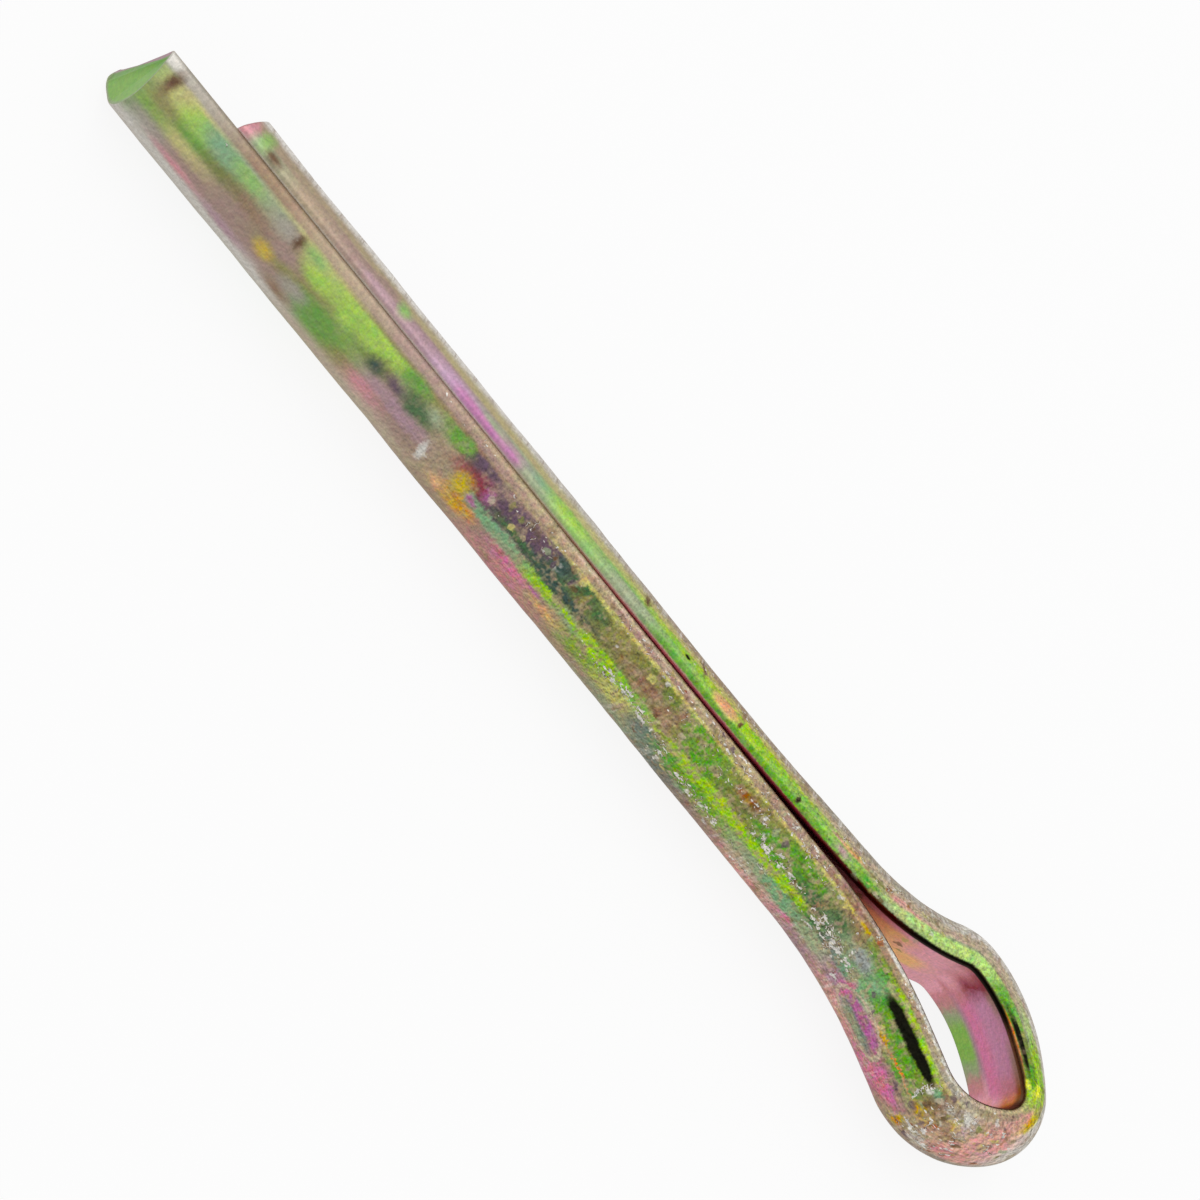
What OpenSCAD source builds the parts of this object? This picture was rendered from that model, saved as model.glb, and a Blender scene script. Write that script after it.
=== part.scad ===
// Split cotter pin: one length of half-round wire, bent back on itself so that
// the two flats face each other. The doubled wire makes a round shank with a
// split along it, and the bend makes an eye at one end. One leg is longer than
// the other, so that the tips can be picked apart and spread.
//
// Frame: the pin lies on its side, as it rests on a table. +X runs from the
// tips to the eye, +Z is up, and the split lies in the XZ plane. The origin is
// on the axis of the shank, where the short leg begins to part from the other.

/* [Shank] */
// Diameter of the round shank that the two legs make together
shank_d = 3.6; // [3.0:0.1:4.4]
// Length of the short leg along the round shank, up to its tip
short_leg_l = 23.7; // [12:0.1:60]
// How much longer the long leg is than the short one
leg_step = 3.5; // [1.5:0.1:8]
// Gap between the two flats where the legs lie closed
split_gap = 0.03; // [0.02:0.01:0.2]
// Radius of the rolled edges along both sides of the flat
edge_r = 0.3; // [0.15:0.01:0.45]

/* [Opening of the short leg] */
// Length of the slow bend that parts the short leg from the long one
part_l = 8.7; // [5:0.1:12]
// Angle that the short leg has turned through at the end of the slow bend
part_a = 3.5; // [2:0.1:4]

/* [Eye] */
// Distance from the split to the inside of the eye on the long leg's side
reach_long = 1.65; // [1.4:0.01:2.3]
// Distance from the split to the inside of the eye on the short leg's side
reach_short = 1.67; // [1.4:0.01:2.3]
// Inside radius of the sharpest bend, at the end of the eye
end_r = 0.64; // [0.4:0.01:0.75]
// How far the centre of the sharpest bend lies towards the long leg's side
end_shift = 0.37; // [0.1:0.01:0.5]
// Turn from the widest point on the long leg's side to the sharpest bend
turn_long = 58.8; // [50:0.1:66]
// Turn from the sharpest bend to the widest point on the short leg's side
turn_short = 47.9; // [42:0.1:60]

/* [Shoulders] */
// Angle at which the long leg flares out to the eye
flare_long = 19.3; // [14:0.1:22]
// Angle at which the short leg flares out to the eye
flare_short = 29.4; // [24:0.1:34]
// Inside radius of the knee where the short leg's flare turns into the eye
knee_r = 1; // [0.5:0.1:2]
// Length of the nearly straight stretch between the long leg's shoulder and eye
slope_l = 1.8; // [0.5:0.1:2.5]
// Angle that the nearly straight stretch still turns through
slope_a = 1; // [0.5:0.1:2]

/* [Sheared tips] */
// Lean of each cut, which leaves the flat longer than the outside of the leg
cut_lean = 21; // [0:1:30]
// Skew of the long leg's cut, which leaves its lower corner the furthest out
cut_skew_long = 6; // [0:0.5:10]
// Skew of the short leg's cut
cut_skew_short = 1; // [0:0.5:10]

/* [Hidden] */
$fn = 96;

shank_r = shank_d / 2;
half_gap = split_gap / 2;
// Slack for cutting shapes, well past the wire on every side
past = 2 * shank_d;

// A rolled edge meets the flat and the round side at this slight angle
edge_meet = 8;
// Centre of a rolled edge: its depth below the flat, its distance from the axis
// of the shank, and its height above the middle of the flat
edge_depth = edge_r * cos(edge_meet);
edge_out = sqrt(pow(shank_r, 2) + pow(edge_r, 2) - 2 * shank_r * edge_r * cos(edge_meet));
edge_z = sqrt(pow(edge_out, 2) - pow(edge_depth + half_gap, 2));

// Radii of the flat in the eye, which follow from where the eye must reach
eye_r_long = (reach_long - end_shift - end_r * cos(turn_long)) / (1 - cos(turn_long));
eye_r_short = (reach_short + end_shift - end_r * cos(turn_short)) / (1 - cos(turn_short));
// Angle left for the sharpest bend between the two wider ones
turn_end = 180 - turn_long - turn_short;

// Radii of the nearly straight stretch and of the slow bend in the short leg
slope_r = slope_l / (slope_a * PI / 180);
part_r = part_l / (part_a * PI / 180);

// What is left for each shoulder to turn, and the radius of the flat in it,
// which brings the leg out to the eye
shoulder_a_long = flare_long - slope_a;
shoulder_a_short = flare_short - part_a;
shoulder_r_long = (reach_long - half_gap - eye_r_long * (1 - cos(flare_long))
    - slope_r * (cos(shoulder_a_long) - cos(flare_long))) / (1 - cos(shoulder_a_long));
shoulder_r_short = (reach_short - half_gap - knee_r * (1 - cos(flare_short))
    - part_r * (1 - cos(part_a))) / (cos(part_a) - cos(flare_short));

// Along the shank, in turn: the widest point on the short leg's side, the centre
// of the sharpest bend, the widest point on the long leg's side, and the start
// of the long leg's shoulder
top_x = part_r * sin(part_a) + shoulder_r_short * (sin(flare_short) - sin(part_a))
    + knee_r * sin(flare_short);
end_x = top_x + (eye_r_short - end_r) * sin(turn_short);
bottom_x = end_x - (eye_r_long - end_r) * sin(turn_long);
shoulder_x = bottom_x - eye_r_long * sin(flare_long)
    - slope_r * (sin(flare_long) - sin(shoulder_a_long))
    - shoulder_r_long * sin(shoulder_a_long);

// Where each bend begins, in turn from the long leg to the short: two distances
// to a point on the flat, and the heading of the wire there
shoulder_long_at = [shoulder_x, -half_gap, 0];
slope_at = after_bend_out(shoulder_long_at, shoulder_r_long, shoulder_a_long);
eye_long_at = after_bend_out(slope_at, slope_r, slope_a);
end_at = after_bend_in(eye_long_at, eye_r_long, flare_long + turn_long);
eye_short_at = after_bend_in(end_at, end_r, turn_end);
knee_at = after_bend_in(eye_short_at, eye_r_short, turn_short);
shoulder_short_at = after_bend_in(knee_at, knee_r, flare_short);
part_at = after_bend_out(shoulder_short_at, shoulder_r_short, shoulder_a_short);

// Where a bend towards the flat ends, when it begins at place at
function after_bend_in(at, r, angle) = [
    at[0] + r * (sin(at[2] + angle) - sin(at[2])),
    at[1] + r * (cos(at[2]) - cos(at[2] + angle)),
    at[2] + angle
];

// Where a bend away from the flat ends, when it begins at place at
function after_bend_out(at, r, angle) = [
    at[0] + r * (sin(at[2]) - sin(at[2] - angle)),
    at[1] + r * (cos(at[2] - angle) - cos(at[2])),
    at[2] - angle
];

// Moves what it carries by a whole number of steps and then by the small rest,
// so that each figure stays short and neighbouring bends meet exactly
module shift(v, step = 0.1) {
    steps = [for (x = v) round(x / step) * step];
    translate(steps)
        translate(v - steps)
            children();
}

// Cross-section of the wire. The flat lies on the Y axis, the round side
// bulges towards +X, and its centre lies in the middle of the split.
module wire_section() {
    difference() {
        translate([-half_gap, 0])
            circle(r = shank_r);
        translate([-past, -past])
            square([past, 2 * past]);
        for (side = [-1, 1])
            edge_waste(side);
    }
}

// The sharp corner beyond a rolled edge, from the centre of the roll outwards
module edge_waste(side) {
    out = past / edge_out;
    difference() {
        polygon([
            [edge_depth, side * edge_z],
            [-past, side * edge_z],
            [-past, side * past],
            [edge_depth + out * (edge_depth + half_gap), side * edge_z * (1 + out)]
        ]);
        translate([edge_depth, side * edge_z])
            circle(r = edge_r);
    }
}

// A bend towards the flat, which lies at radius r inside the bend
module bend_in(at, r, angle) {
    shift([at[0] - r * sin(at[2]), at[1] + r * cos(at[2]), 0])
        rotate_extrude(angle = angle, start = at[2] - 90)
            shift([r, 0])
                wire_section();
}

// A bend away from the flat, which lies at radius r outside the bend
module bend_out(at, r, angle) {
    shift([at[0] + r * sin(at[2]), at[1] - r * cos(at[2]), 0])
        rotate_extrude(angle = angle, start = at[2] + 90 - angle)
            shift([r, 0])
                mirror([1, 0])
                    wire_section();
}

// A leg from the origin along -X to its sheared tip, with its flat facing +Y
module leg(length, skew) {
    difference() {
        rotate([90, 0, -90])
            linear_extrude(length + past)
                wire_section();
        translate([-length, 0, 0])
            rotate([0, skew, cut_lean])
                translate([-2 * past, -past, -past])
                    cube([2 * past, 2 * past, 2 * past]);
    }
}

module cotter_pin() {
    color("darkkhaki")
        union() {
            shift([shoulder_x, -half_gap, 0])
                leg(short_leg_l + leg_step + shoulder_x, cut_skew_long);
            bend_out(shoulder_long_at, shoulder_r_long, shoulder_a_long);
            bend_out(slope_at, slope_r, slope_a);
            bend_in(eye_long_at, eye_r_long, flare_long + turn_long);
            bend_in(end_at, end_r, turn_end);
            bend_in(eye_short_at, eye_r_short, turn_short);
            bend_in(knee_at, knee_r, flare_short);
            bend_out(shoulder_short_at, shoulder_r_short, shoulder_a_short);
            bend_out(part_at, part_r, part_a);
            shift([0, half_gap, 0])
                mirror([0, 1, 0])
                    leg(short_leg_l, cut_skew_short);
        }
}

cotter_pin();
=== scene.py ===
# %% [markdown]
# # A split cotter pin in zinc-plated wire
#
# A cotter pin is one length of half-round wire, bent back on itself. The two
# flats face each other, so the doubled wire makes a round shank with a split
# along it, and the bend makes an eye. This lesson builds it the way the pin is
# made: the wire's section first, then the wire drawn out and bent step by
# step, then the two sheared tips, and last its worn, rainbow-coloured plating.
#
# We start by loading the imported model. It is the frame that everything
# sits in.

# %% Load the frame
from math import atan2, ceil, cos, degrees, exp, pi, radians, sin

import bmesh
import bpy
from mathutils import Matrix, Quaternion, Vector, noise


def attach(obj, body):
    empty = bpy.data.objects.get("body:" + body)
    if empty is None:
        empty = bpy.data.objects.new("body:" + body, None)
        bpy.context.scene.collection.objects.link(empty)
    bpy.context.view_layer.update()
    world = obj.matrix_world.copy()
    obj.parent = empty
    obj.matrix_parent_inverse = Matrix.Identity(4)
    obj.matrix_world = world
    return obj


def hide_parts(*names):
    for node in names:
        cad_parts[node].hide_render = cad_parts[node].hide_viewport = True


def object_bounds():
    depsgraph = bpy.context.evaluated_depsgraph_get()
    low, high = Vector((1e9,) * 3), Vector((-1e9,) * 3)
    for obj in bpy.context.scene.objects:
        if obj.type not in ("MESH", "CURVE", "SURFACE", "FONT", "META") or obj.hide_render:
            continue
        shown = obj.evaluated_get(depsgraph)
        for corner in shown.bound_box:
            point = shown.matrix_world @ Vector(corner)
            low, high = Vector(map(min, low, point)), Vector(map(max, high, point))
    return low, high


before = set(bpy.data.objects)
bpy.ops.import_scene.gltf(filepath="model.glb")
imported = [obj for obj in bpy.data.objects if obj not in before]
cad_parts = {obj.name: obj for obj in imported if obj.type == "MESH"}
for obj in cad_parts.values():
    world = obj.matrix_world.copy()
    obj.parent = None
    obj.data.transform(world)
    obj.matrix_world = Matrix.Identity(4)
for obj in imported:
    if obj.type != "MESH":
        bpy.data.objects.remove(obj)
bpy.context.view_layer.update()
MM = 0.001

# %% [markdown]
# ## Camera
#
# The pin is looked at from above its long leg, down at 56 degrees, through a
# long lens that keeps the two legs nearly parallel. The view is turned so that
# the pin runs from corner to corner: that is a roll of the camera about its
# own line of sight, which we put on after aiming it.

# %% Set up the camera
AIM = Vector((-4.25, 0.43, 0)) * MM
DISTANCE = 198.3 * MM
AZIMUTH = radians(-18.136)
ELEVATION = radians(56.457)
ROLL = radians(66.11)
LENS, SENSOR = 181.4, 36
NEAREST, FURTHEST = 0.01, 10

back = Vector((sin(AZIMUTH) * cos(ELEVATION), -cos(AZIMUTH) * cos(ELEVATION), sin(ELEVATION)))
camera = bpy.data.objects.new("camera", bpy.data.cameras.new("camera"))
camera.data.lens = LENS
camera.data.sensor_width = SENSOR
camera.data.clip_start = NEAREST
camera.data.clip_end = FURTHEST
camera.location = AIM + back * DISTANCE
camera.rotation_mode = "QUATERNION"
camera.rotation_quaternion = (-back).to_track_quat("-Z", "Y") @ Quaternion((0, 0, 1), ROLL)
bpy.context.scene.collection.objects.link(camera)
bpy.context.scene.camera = camera
print("camera stands", round(DISTANCE / MM), "mm from its aim")

# %% [markdown]
# ## Sizes of the wire
#
# These are the sizes of the part, in millimetres. A bend is told by the radius
# of the flat and the angle it turns through, and the wire goes from bend to
# bend without a kink, so the radii of the eye follow from how far each side of
# it must reach.

# %% Name the sizes
SHANK_R = 1.8
HALF_GAP = 0.015
EDGE_R = 0.3
SHORT_LEG = 23.7
LEG_STEP = 3.5
LONG_LEG = SHORT_LEG + LEG_STEP

REACH_LONG, REACH_SHORT = 1.65, 1.67
END_R, END_SHIFT = 0.64, 0.37
TURN_LONG, TURN_SHORT = radians(58.8), radians(47.9)
TURN_END = pi - TURN_LONG - TURN_SHORT
FLARE_LONG, FLARE_SHORT = radians(19.3), radians(29.4)
KNEE_R = 1.0
SLOPE_L, SLOPE_A = 1.8, radians(1)
PART_L, PART_A = 8.7, radians(3.5)
print("short leg", SHORT_LEG, "mm, long leg", LONG_LEG, "mm, shank", 2 * SHANK_R, "mm across")

# %% [markdown]
# The rest is worked out. The radii of the two sides of the eye come first,
# then those of the shoulders, and last where the long leg's shoulder begins.

# %% Work out the bends
EYE_R_LONG = (REACH_LONG - END_SHIFT - END_R * cos(TURN_LONG)) / (1 - cos(TURN_LONG))
EYE_R_SHORT = (REACH_SHORT + END_SHIFT - END_R * cos(TURN_SHORT)) / (1 - cos(TURN_SHORT))
SLOPE_R = SLOPE_L / SLOPE_A
PART_R = PART_L / PART_A
SHOULDER_A_LONG = FLARE_LONG - SLOPE_A
SHOULDER_A_SHORT = FLARE_SHORT - PART_A
SHOULDER_R_LONG = (
    REACH_LONG - HALF_GAP - EYE_R_LONG * (1 - cos(FLARE_LONG))
    - SLOPE_R * (cos(SHOULDER_A_LONG) - cos(FLARE_LONG))
) / (1 - cos(SHOULDER_A_LONG))
SHOULDER_R_SHORT = (
    REACH_SHORT - HALF_GAP - KNEE_R * (1 - cos(FLARE_SHORT)) - PART_R * (1 - cos(PART_A))
) / (cos(PART_A) - cos(FLARE_SHORT))
TOP_X = (
    PART_R * sin(PART_A) + SHOULDER_R_SHORT * (sin(FLARE_SHORT) - sin(PART_A))
    + KNEE_R * sin(FLARE_SHORT)
)
END_X = TOP_X + (EYE_R_SHORT - END_R) * sin(TURN_SHORT)
BOTTOM_X = END_X - (EYE_R_LONG - END_R) * sin(TURN_LONG)
SHOULDER_X = (
    BOTTOM_X - EYE_R_LONG * sin(FLARE_LONG)
    - SLOPE_R * (sin(FLARE_LONG) - sin(SHOULDER_A_LONG))
    - SHOULDER_R_LONG * sin(SHOULDER_A_LONG)
)
print("eye radii", round(EYE_R_LONG, 3), round(EYE_R_SHORT, 3))
print("shoulder radii", round(SHOULDER_R_LONG, 2), round(SHOULDER_R_SHORT, 2))

# %% [markdown]
# ## The section of the wire
#
# Half-round wire is rolled from round wire, so its two long edges are rolled
# over and not sharp. The section could be typed in as a list of points. We let
# Blender make it instead: a disc, bisected just beside its middle, with its
# two corners bevelled. The long flat side is cut into short pieces, so that it
# can bend later.
#
# Each point also gets a vector called laid_straight. It says where that point
# was in the wire before any bending: how far along the wire, how deep below
# the flat, and how high from its middle, in millimetres. The plating's pattern
# follows the wire through it, all the way round the eye, without a seam. The
# wire starts SPARE millimetres before the tip, because the tips are cut later.

# %% Make the section
SPARE = 1.2
TINY = 1e-5
ROUND_PIECES, EDGE_PIECES, FLAT_CUTS = 80, 8, 13

wire = bmesh.new()
laid = wire.verts.layers.float_vector.new("laid_straight")
outward = wire.verts.layers.float_vector.new("outward")
bmesh.ops.create_circle(wire, cap_ends=True, segments=ROUND_PIECES, radius=SHANK_R)
bmesh.ops.bisect_plane(
    wire, geom=wire.verts[:] + wire.edges[:] + wire.faces[:],
    plane_co=(HALF_GAP, 0, 0), plane_no=(1, 0, 0), clear_inner=True,
)
bmesh.ops.translate(wire, verts=wire.verts[:], vec=(-HALF_GAP, 0, 0))
in_reach = [v for v in wire.verts if TINY < v.co.x < EDGE_R]
bmesh.ops.dissolve_verts(wire, verts=in_reach)
corners = [v for v in wire.verts if abs(v.co.x) < TINY]
bmesh.ops.bevel(
    wire, geom=corners, offset=EDGE_R, offset_type="OFFSET", segments=EDGE_PIECES,
    profile=0.5, affect="VERTICES", material=-1,
)
flat_edge = max(wire.edges, key=lambda e: e.calc_length())
bmesh.ops.subdivide_edges(wire, edges=[flat_edge], cuts=FLAT_CUTS)
bmesh.ops.delete(wire, geom=wire.faces[:], context="FACES_ONLY")
for vert in wire.verts:
    vert[laid] = Vector((-SPARE, vert.co.x, vert.co.y))
print("section has", len(wire.verts), "points, depth",
      round(max(v.co.x for v in wire.verts), 3), "mm")

# %% [markdown]
# ## Drawing the wire out and bending it
#
# Spin copies the section round an axis and joins each copy to the last. With
# an angle of zero and a step along a line it draws a straight leg instead, so
# one small helper does the whole pin. The wire turns left towards its flat and
# right away from it. Half-round wire is stretched outside a bend and squeezed
# inside it, and keeps its length on a line about 0.76 mm below the flat, so
# the length is counted along that line.
#
# What we know of the growing end is kept in one place: where it is, which way
# it heads, how far along the wire it is, and the section there.

# %% Write the drawing helper
NEUTRAL = 0.76
STEP_L = 0.2
STEP_A = radians(3.2)

growing = {"at": Vector((-LONG_LEG - SPARE, -HALF_GAP, 0)), "heading": 0.0, "along": -SPARE}
stand_up = Matrix(((0, 0, -1, 0), (-1, 0, 0, 0), (0, 1, 0, 0), (0, 0, 0, 1)))
bmesh.ops.transform(
    wire, matrix=Matrix.Translation(growing["at"]) @ stand_up, verts=wire.verts[:]
)
growing["section"] = wire.verts[:] + wire.edges[:]


def draw_on(length, angle=0.0):
    """Carries the wire on by a length of its flat, while it turns through an angle."""
    steps = max(ceil(length / STEP_L), ceil(abs(angle) / STEP_A))
    heading = Vector((cos(growing["heading"]), sin(growing["heading"]), 0))
    left = Vector((-heading.y, heading.x, 0))
    radius = length / angle if angle else 0.0
    centre = growing["at"] + left * radius
    push = heading * (length / steps) if not angle else Vector()
    grown = length / steps * (1 + NEUTRAL / radius if angle else 1)
    for _ in range(steps):
        growing["section"] = bmesh.ops.spin(
            wire, geom=growing["section"], cent=centre, axis=(0, 0, 1), dvec=push,
            angle=angle / steps, steps=1, use_duplicate=False,
        )["geom_last"]
        growing["along"] += grown
        growing["heading"] += angle / steps
        right = Vector((sin(growing["heading"]), -cos(growing["heading"]), 0))
        for vert in growing["section"]:
            if isinstance(vert, bmesh.types.BMVert):
                vert[laid] = Vector((growing["along"], vert[laid].y, vert[laid].z))
                vert[outward] = right
    if angle:
        growing["at"] = centre + Matrix.Rotation(angle, 3, "Z") @ (growing["at"] - centre)
    else:
        growing["at"] = growing["at"] + heading * length
    return round(growing["along"], 2)


print("wire starts at", [round(x, 3) for x in growing["at"]])

# %% [markdown]
# The long leg comes first, then its shoulder, the eye, the knee where the short
# leg's side turns into the eye, the shoulder behind it, the slow bend that
# brings the two flats together, and the short leg.

# %% Draw the wire
stretches = {"long leg": draw_on(SPARE + LONG_LEG + SHOULDER_X)}
for name, radius, angle in (
    ("shoulder of the long leg", SHOULDER_R_LONG, -SHOULDER_A_LONG),
    ("slope", SLOPE_R, -SLOPE_A),
    ("side of the eye", EYE_R_LONG, FLARE_LONG + TURN_LONG),
    ("end of the eye", END_R, TURN_END),
    ("other side of the eye", EYE_R_SHORT, TURN_SHORT),
    ("knee", KNEE_R, FLARE_SHORT),
    ("shoulder of the short leg", SHOULDER_R_SHORT, -SHOULDER_A_SHORT),
    ("slow bend", PART_R, -PART_A),
):
    stretches[name] = draw_on(radius * abs(angle), angle)
print("short leg starts at", [round(x, 4) for x in growing["at"]])
draw_on(SHORT_LEG + SPARE)
WIRE_L = growing["along"] - SPARE
print("length along the wire at the end of each stretch, mm:", stretches)
print("whole wire:", round(WIRE_L, 1), "mm")

# %% [markdown]
# ## Shearing the tips
#
# Each leg was drawn out a little too long. A plane cuts it off at a lean, so
# the flat stays longer than the outside, and the hole is filled with a sheared
# face that has a finish of its own. The two legs lie closer than the width of
# a hair, so the cut is told which faces belong to its leg. A shear rolls the
# wire over where it goes in. A bevel would trip over the many short edges of
# the rim, so the face is inset and raised instead, in two small steps.

# %% Shear both tips
CUT_LEAN = radians(21)
SKEW_LONG, SKEW_SHORT = radians(6), radians(1)
# How far round a tip the cut reaches, and how far over the split its leg may lie
TIP_REACH, LEG_SLACK = 4, 0.005
# How far each step goes in, and how far it raises the face
ROLL_STEPS = ((0.015, 0.03), (0.035, 0.02))


def shear(tip, skew, side):
    """Cuts a leg off at a leaning plane through tip, and closes it with a face."""
    away = -Vector((cos(skew) * cos(CUT_LEAN), side * cos(skew) * sin(CUT_LEAN), -sin(skew)))
    near = [f for f in wire.faces if (f.calc_center_median() - tip).length < TIP_REACH
            and (f.calc_center_median().y - tip.y) * side < LEG_SLACK]
    geom = list(dict.fromkeys(part for f in near for part in (f, *f.edges, *f.verts)))
    cut = bmesh.ops.bisect_plane(
        wire, geom=geom, plane_co=tip, plane_no=away, clear_outer=True, dist=1e-6
    )["geom_cut"]
    rim = [e for e in cut if isinstance(e, bmesh.types.BMEdge)]
    face = bmesh.ops.edgeloop_fill(wire, edges=rim, mat_nr=1)["faces"][0]
    face.normal_update()
    if face.normal.dot(away) < 0:
        face.normal_flip()
    print("sheared face of", round(face.calc_area(), 2), "mm2")
    return face


def roll_rim(face):
    """Rolls the rim of a sheared face over. The rim has the finish of the wire."""
    for inset, raised in ROLL_STEPS:
        rim = bmesh.ops.inset_individual(
            wire, faces=[face], thickness=inset, depth=raised, use_even_offset=True
        )["faces"]
        for part in rim:
            part.material_index = 0


long_face = shear(Vector((-LONG_LEG, -HALF_GAP, 0)), SKEW_LONG, 1)
short_face = shear(Vector((-SHORT_LEG, HALF_GAP, 0)), SKEW_SHORT, -1)
for face in (long_face, short_face):
    roll_rim(face)

# %% [markdown]
# ## What bending and shearing leave behind
#
# Steel is not drawn as neatly as a sketch. At the sharpest bend the wire is
# stretched thinner, so its flat lies further out than on a plain bend, and its
# back is a little fuller. The shear has dragged both tips on a little, most of
# all at the long leg's back, and has pulled a lip out of that leg's lower
# corner. Near the tips the edges of the flat are rolled more tightly than
# round the eye, so their corner is filled out. And the surface is nowhere
# quite even.
#
# Each of these is a small move of the points, told by where a point was in the
# straight wire. A swell is written as how far it moves them, where along the
# wire it is, and how wide it is, all in millimetres.

# %% Name what bending and shearing do
DEEPEST = SHANK_R - HALF_GAP
FLAT_SWELL = (0.27, 46.9, 1.5)
BACK_SWELL = (0.07, 46.4, 1.2)
LONG_BACK_DRAG = (0.24, 0.5, 0.9)
SHORT_TIP_DRAG = (0.15, WIRE_L, 0.8)
# The lip's place is told as laid_straight tells it: along, below the flat, and up
LIP, LIP_PLACE, LIP_WIDTH = 0.3, (-0.3, 0.6, -1.9), (0.9, 0.6, 0.75)
# How close the waves lie along and across the wire, and how high they are
UNEVEN = ((0.4, 1, 0.035), (1.6, 2, 0.012))
# Centre of a rolled edge, and how far its corner is filled out and lifted
EDGE_DEPTH, EDGE_Z = 0.297, 1.45
EDGE_FILL, EDGE_LIFT = 0.28, 0.35
# How far from a tip the edges are tight, and over what length that fades
TIGHT_FROM_TIP, TIGHT_FADE = 24, 8


def bell(x, middle, width):
    """1 at the middle, falling off smoothly on both sides."""
    return exp(-((x - middle) / width) ** 2)


def swell(along_mm, amount, middle, width):
    """How far a swell moves a point, in millimetres."""
    return amount * bell(along_mm, middle, width)


print("sharpest bend at", FLAT_SWELL[1], "mm of", round(WIRE_L, 1), "mm")

# %% Move the points
moved = []
for vert in wire.verts:
    along_mm, depth, height = vert[laid]
    out_by = swell(along_mm, *FLAT_SWELL) * (1 - depth / DEEPEST)
    out_by += swell(along_mm, *BACK_SWELL) * depth / DEEPEST
    for lengthwise, crosswise, amount in UNEVEN:
        spot = Vector((along_mm * lengthwise, depth * crosswise, height * crosswise))
        out_by += noise.noise(spot) * amount * min(depth, 1)
    move = vert[outward] * out_by
    lip = LIP
    for x, middle, width in zip(vert[laid], LIP_PLACE, LIP_WIDTH):
        lip *= bell(x, middle, width)
    drag = swell(along_mm, *SHORT_TIP_DRAG) + swell(along_mm, *LONG_BACK_DRAG) * depth / DEEPEST
    move.x -= lip + drag
    from_tip = min(along_mm, WIRE_L - along_mm)
    if depth < EDGE_DEPTH and abs(height) > EDGE_Z and from_tip < TIGHT_FROM_TIP:
        in_by, up_by = EDGE_DEPTH - depth, abs(height) - EDGE_Z
        fill = EDGE_FILL * sin(2 * atan2(up_by, in_by))
        fill *= min(1, (TIGHT_FROM_TIP - from_tip) / TIGHT_FADE)
        lift = EDGE_LIFT * up_by if height > 0 else -EDGE_LIFT * up_by
        move += fill * (Vector((0, 0, lift)) - vert[outward] * in_by)
    vert.co += move
    moved.append(move.length)
print("points moved by up to", round(max(moved), 2), "mm")

# %% [markdown]
# The wire is now turned into a Blender object, in metres, at the origin. It
# stands for the CAD solid, which stays hidden for the physics. The sheared
# faces are flat, so they are the only ones that are not shaded smooth.

# %% Make the object
bmesh.ops.remove_doubles(wire, verts=wire.verts[:], dist=TINY)
bmesh.ops.recalc_face_normals(wire, faces=wire.faces[:])
bmesh.ops.scale(wire, vec=(MM, MM, MM), verts=wire.verts[:])
for face in wire.faces:
    face.smooth = face.material_index == 0
open_edges = sum(1 for e in wire.edges if not e.is_manifold)
mesh = bpy.data.meshes.new("bent_wire")
wire.to_mesh(mesh)
wire.free()
pin = bpy.data.objects.new("bent_wire", mesh)
bpy.context.scene.collection.objects.link(pin)
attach(pin, "root")
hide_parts("cotter_pin")
print("pin has", len(mesh.vertices), "points and", len(mesh.polygons), "faces,",
      open_edges, "open edges")

# %% [markdown]
# ## Colours of the plating
#
# Zinc plating is passivated in a bath that leaves a film so thin that light
# plays in it like in a soap bubble. Its colour depends on the film's
# thickness, so it drifts from green and gold to rose and violet. Cycles has no
# such film for metals, so the drift is painted into the base colour. First
# comes a palette, as a maker would mix it, and a helper that turns its screen
# colours into the linear ones that shaders use.

# %% Mix the palette
PALETTE = {
    "pale": (204, 201, 194), "ash": (160, 154, 142), "steel": (150, 154, 150),
    "shell": (186, 172, 152), "sand": (166, 148, 124), "dusk": (158, 134, 124),
    "clay": (144, 120, 98), "bark": (104, 80, 60), "rust": (146, 92, 58), "soot": (24, 24, 18),
    "oxblood": (96, 40, 30), "wine": (140, 74, 84), "rose": (196, 138, 144),
    "blush": (214, 166, 158), "pink": (206, 130, 158), "apricot": (214, 172, 132),
    "orange": (216, 146, 100), "gold": (198, 168, 64), "straw": (190, 184, 122),
    "lime": (156, 194, 80), "lemon": (246, 252, 110), "spring": (140, 178, 102),
    "celery": (176, 204, 132), "petal": (226, 172, 182), "fuchsia": (210, 140, 168),
    "heather": (196, 148, 172), "peach": (232, 188, 142), "bare": (228, 226, 222),
    "leaf": (108, 154, 72), "grass": (132, 162, 82), "moss": (120, 126, 76),
    "peat": (104, 92, 56), "olive": (144, 138, 90), "forest": (80, 108, 74), "pine": (66, 84, 78),
    "jade": (126, 164, 126), "sage": (152, 162, 132), "slate": (114, 124, 116),
    "mauve": (168, 138, 146), "lilac": (180, 148, 172), "orchid": (174, 112, 154),
    "plum": (98, 80, 94),
}


def linear(name):
    """A colour of the palette as a linear RGBA value."""
    def channel(c):
        c /= 255
        return c / 12.92 if c <= 0.04045 else ((c + 0.055) / 1.055) ** 2.4
    return tuple(channel(c) for c in PALETTE[name]) + (1,)


print(len(PALETTE), "colours mixed")

# %% [markdown]
# ## Helpers for nodes
#
# A material is a tree of nodes. Each helper here adds one node, joins it up
# and gives back its output, so that the finish can be written as a sum.

# %% Write the helpers for sums
def add(tree, kind, **settings):
    """Adds a node and sets it up."""
    new = tree.nodes.new(kind)
    for key, value in settings.items():
        setattr(new, key, value)
    return new


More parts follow.
